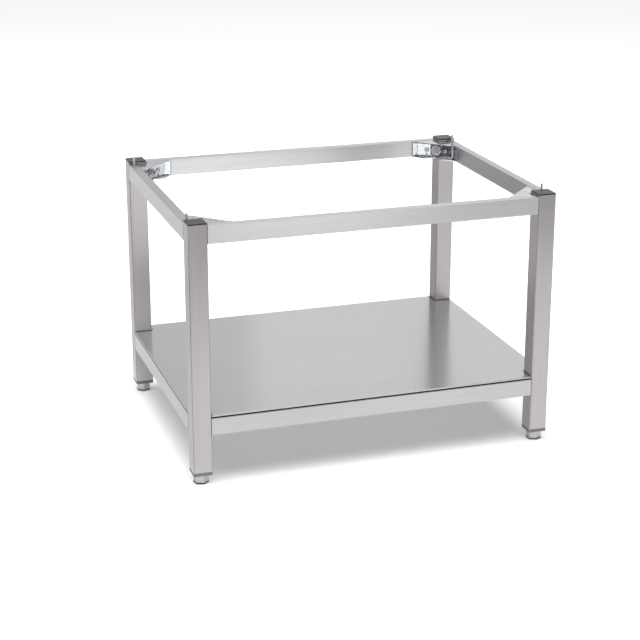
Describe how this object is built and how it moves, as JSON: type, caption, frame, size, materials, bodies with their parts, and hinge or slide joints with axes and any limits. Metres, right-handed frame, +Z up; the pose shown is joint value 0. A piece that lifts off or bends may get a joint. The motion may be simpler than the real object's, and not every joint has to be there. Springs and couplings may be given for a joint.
{
  "type": "stove stand",
  "caption": "Knock-down stand for a counter-top stove: square tube legs, rail frames joined by pressed corner brackets, locating pins, a hemmed shelf and levelling screw feet.",
  "frame": {"origin": "on the floor, under the middle of the stand", "axes": "+X across the width to the right, +Y to the back, +Z up; the front faces -Y"},
  "size_m": [0.8, 0.6, 0.573],
  "materials": {
    "leg_steel": "satin, brushed lengthwise",
    "rail_steel": "satin, brushed lengthwise",
    "shelf_steel": "satin, brushed along the width",
    "pin_steel": "turned",
    "bracket_zinc": "bright zinc plate",
    "fixing_zinc": "bright zinc plate",
    "block_zinc": "zinc plate",
    "cap_plastic": "fine texture",
    "collar_plastic": "fine texture",
    "foot_steel": "satin nickel plate",
    "stem_steel": "zinc plate",
    "pad_plastic": "matt"
  },
  "bodies": {
    "stand": {"foot_insert_front_left": "collar_plastic", "foot_insert_front_right": "collar_plastic", "foot_insert_rear_left": "collar_plastic", "foot_insert_rear_right": "collar_plastic", "leg_cap_front_left": "cap_plastic", "leg_cap_front_right": "cap_plastic", "leg_cap_rear_left": "cap_plastic", "leg_cap_rear_right": "cap_plastic", "leg_front_left": "leg_steel", "leg_front_right": "leg_steel", "leg_rear_left": "leg_steel", "leg_rear_right": "leg_steel", "locating_pin_front_left": "pin_steel", "locating_pin_front_right": "pin_steel", "locating_pin_rear_left": "pin_steel", "locating_pin_rear_right": "pin_steel", "lower_bracket_front_left": "bracket_zinc", "lower_bracket_front_right": "bracket_zinc", "lower_bracket_rear_left": "bracket_zinc", "lower_bracket_rear_right": "bracket_zinc", "lower_bracket_screws": "fixing_zinc", "lower_corner_nuts": "fixing_zinc", "lower_corner_studs": "fixing_zinc", "lower_corner_washers": "fixing_zinc", "lower_leg_anchors": "block_zinc", "lower_rail_cleats": "block_zinc", "lower_rail_front": "rail_steel", "lower_rail_left": "rail_steel", "lower_rail_rear": "rail_steel", "lower_rail_right": "rail_steel", "shelf_panel": "shelf_steel", "shelf_stiffener": "shelf_steel", "top_bracket_front_left": "bracket_zinc", "top_bracket_front_right": "bracket_zinc", "top_bracket_rear_left": "bracket_zinc", "top_bracket_rear_right": "bracket_zinc", "top_bracket_screws": "fixing_zinc", "top_corner_nuts": "fixing_zinc", "top_corner_studs": "fixing_zinc", "top_corner_washers": "fixing_zinc", "top_leg_anchors": "block_zinc", "top_rail_cleats": "block_zinc", "top_rail_front": "rail_steel", "top_rail_left": "rail_steel", "top_rail_rear": "rail_steel", "top_rail_right": "rail_steel"},
    "pad_front_left": {"foot_pad_front_left": "pad_plastic"},
    "foot_front_left": {"foot_body_front_left": "foot_steel", "foot_stem_front_left": "stem_steel"},
    "pad_front_right": {"foot_pad_front_right": "pad_plastic"},
    "foot_front_right": {"foot_body_front_right": "foot_steel", "foot_stem_front_right": "stem_steel"},
    "pad_rear_left": {"foot_pad_rear_left": "pad_plastic"},
    "foot_rear_left": {"foot_body_rear_left": "foot_steel", "foot_stem_rear_left": "stem_steel"},
    "pad_rear_right": {"foot_pad_rear_right": "pad_plastic"},
    "foot_rear_right": {"foot_body_rear_right": "foot_steel", "foot_stem_rear_right": "stem_steel"}
  },
  "joints": [
    {"name": "foot_lift_front_left", "type": "slide", "parent": "stand", "child": "pad_front_left", "axis": [0, 0, -1], "range_m": [0, 0.024]},
    {"name": "foot_turn_front_left", "type": "hinge", "parent": "pad_front_left", "child": "foot_front_left", "pos_m": [-0.38, -0.28, 0.012], "axis": [0, 0, -1], "range_deg": [0, 5760]},
    {"name": "foot_lift_front_right", "type": "slide", "parent": "stand", "child": "pad_front_right", "axis": [0, 0, -1], "range_m": [0, 0.024]},
    {"name": "foot_turn_front_right", "type": "hinge", "parent": "pad_front_right", "child": "foot_front_right", "pos_m": [0.38, -0.28, 0.012], "axis": [0, 0, -1], "range_deg": [0, 5760]},
    {"name": "foot_lift_rear_left", "type": "slide", "parent": "stand", "child": "pad_rear_left", "axis": [0, 0, -1], "range_m": [0, 0.024]},
    {"name": "foot_turn_rear_left", "type": "hinge", "parent": "pad_rear_left", "child": "foot_rear_left", "pos_m": [-0.38, 0.28, 0.012], "axis": [0, 0, -1], "range_deg": [0, 5760]},
    {"name": "foot_lift_rear_right", "type": "slide", "parent": "stand", "child": "pad_rear_right", "axis": [0, 0, -1], "range_m": [0, 0.024]},
    {"name": "foot_turn_rear_right", "type": "hinge", "parent": "pad_rear_right", "child": "foot_rear_right", "pos_m": [0.38, 0.28, 0.012], "axis": [0, 0, -1], "range_deg": [0, 5760]}
  ],
  "couplings": [
    {"joint": "foot_lift_front_left", "follows": "foot_turn_front_left", "m_per_rad": 0.0002387},
    {"joint": "foot_lift_front_right", "follows": "foot_turn_front_right", "m_per_rad": 0.0002387},
    {"joint": "foot_lift_rear_left", "follows": "foot_turn_rear_left", "m_per_rad": 0.0002387},
    {"joint": "foot_lift_rear_right", "follows": "foot_turn_rear_right", "m_per_rad": 0.0002387}
  ]
}
